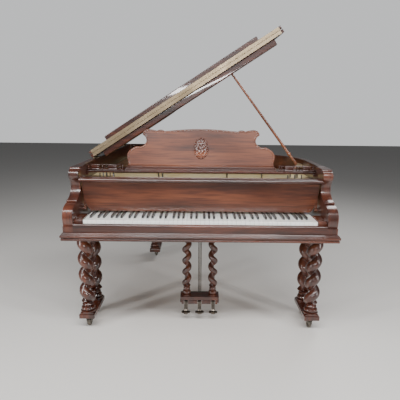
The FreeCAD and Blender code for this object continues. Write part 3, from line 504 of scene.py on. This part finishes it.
def shaped_post(verts, faces, x, y, half_width, half_depth, low, high):
    """Upright that follows the profile's heights and shares of its depth."""
    steps = 28
    first = len(verts)
    for height, share in post_profile:
        half = half_width - half_depth * (1 - share)
        for step in range(steps):
            turn = 2 * math.pi * step / steps
            c, s = math.cos(turn), math.sin(turn)
            verts.append((x + half * math.copysign(abs(c) ** (half_depth / half_width), c),
                          y + half_depth * share * s, low + (high - low) * height))
    for ring in range(len(post_profile) - 1):
        near = first + ring * steps
        for step in range(steps):
            after = (step + 1) % steps
            faces.append((near + step, near + after, near + steps + after, near + steps + step))
    faces.append(tuple(first + step for step in reversed(range(steps))))
    faces.append(tuple(len(verts) - steps + step for step in range(steps)))


def rail(verts, faces, x0, x1, y, half_depth, z0, z1):
    """Rounded rail from x0 to x1."""
    first = len(verts)
    steps = 12
    for x in (x0, x1):
        for step in range(steps):
            turn = 2 * math.pi * step / steps
            verts.append((x, y + half_depth * math.cos(turn), (z0 + z1) / 2 + (z1 - z0) / 2 * math.sin(turn)))
    for step in range(steps):
        after = (step + 1) % steps
        faces.append((first + step, first + steps + step, first + steps + after, first + after))
    faces.append(tuple(first + step for step in range(steps)))
    faces.append(tuple(first + steps + step for step in reversed(range(steps))))


def galleries():
    """Both fences as one piece, each as long as its CAD fence to the nearest millimetre."""
    foot_rail, top_rail, rail_half_depth = 0.006, 0.005, 0.0068
    post_half_depth, tenon = 0.0065, 0.003
    drawn_length = 214
    posts_and_blocks = ((3, 8), (17, 8), (38, 54), (106, 8), (120, 8), (142, 46), (200, 10))
    low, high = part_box("side_galleries")
    inner_end = round(min(abs(corner.co.x) for corner in nodes["side_galleries"].data.vertices), 3)
    spread = (high.x - inner_end) / drawn_length
    y = (low.y + high.y) / 2
    verts, faces = [], []
    for side in (-1, 1):
        ends = sorted((side * inner_end, side * high.x))
        rail(verts, faces, *ends, y, rail_half_depth, low.z, low.z + foot_rail)
        rail(verts, faces, *ends, y, rail_half_depth, high.z - top_rail, high.z)
        for start, width in posts_and_blocks:
            x = side * (inner_end + (start + width / 2) * spread)
            half_width = width * spread / 2
            shaped_post(verts, faces, x, y, half_width, min(post_half_depth, half_width), low.z + tenon,
                        high.z - tenon)
    return new_piece("shaped_galleries", verts, faces, case_wood_x, "case")


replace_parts(galleries(), "side_galleries")

# ---- Lid, flap and their hinges --------------------------------------------------------------
# Mahogany boards with rounded polished edges and a cross batten. A continuous brass hinge joins the
# front flap to the lid, and knuckled brass leaves hang the lid on the spine.
lid_wood = mahogany("lid_mahogany", "Y", *case_tones)
dress("lid_main", lid_wood, 0.006, segments=4)
dress("lid_flap", case_wood_x, 0.006, segments=4)
dress("lid_batten", case_wood_x, 0.004)
brass = drawn_metal("hinge_brass", (0.20, 0.15, 0.09), (0.38, 0.3, 0.2), 0.42, (5, 5, 5))
for name in ("flap_hinge_leaf", "lid_hinge_leaves", "case_hinge_leaves"):
    dress(name, brass, 0.0003, segments=1)

# ---- Prop ------------------------------------------------------------------------------------
# A tapered mahogany stick with an eye at its foot and a turned collar, and a short stay on the same
# pin, on a brass bracket inside the case. The stick's head stands in a horseshoe block under the lid.
# The stick's mahogany is paler than the case's: a painted highlight over the whole stick.
prop_wood_painted_highlight = mahogany("prop_mahogany_painted_highlight", "Z", (0.08, 0.024, 0.011), (0.2, 0.066, 0.032), (0.32, 0.12, 0.06))
dress("prop_long", prop_wood_painted_highlight)
dress("prop_short", prop_wood_painted_highlight)
dress("prop_cup", prop_wood_painted_highlight, 0.002)
dress("prop_bracket", brass, 0.0003, segments=1)

# ---- Legs and casters ------------------------------------------------------------------------
# Open barley twists with turned feet, carved from solid mahogany, in pairs on a moulded plinth.
# Cast iron casters swivel in the plinths: two under each front pair, one under the tail pair.
leg_wood = mahogany("leg_mahogany", "Z", (0.015, 0.003, 0.0015), (0.07, 0.015, 0.006), (0.17, 0.044, 0.018))
for name in ("leg_front_left", "leg_front_right", "leg_tail"):
    dress(name, leg_wood, 0.002)
aged_iron = drawn_metal("aged_caster_iron", (0.06, 0.052, 0.044), (0.26, 0.23, 0.19), 0.42, (60, 60, 60), 0.9)
for name in nodes:
    if name.startswith("caster_"):
        dress(name, aged_iron, 0.001)

# ---- Lyre and pedals -------------------------------------------------------------------------
# Two slim twists between a top board and the pedal box, hung under the keybed. Three cast bronze
# pedals swing on pins in the box, each with its tail under its own rod.
dress("lyre", leg_wood, 0.002)
bronze = drawn_metal("pedal_bronze", (0.045, 0.038, 0.032), (0.22, 0.19, 0.16), 0.3, (50, 50, 50))
for side in ("left", "middle", "right"):
    dress("pedal_" + side, bronze, 0.003)
    dress("pedal_rod_" + side, bronze)
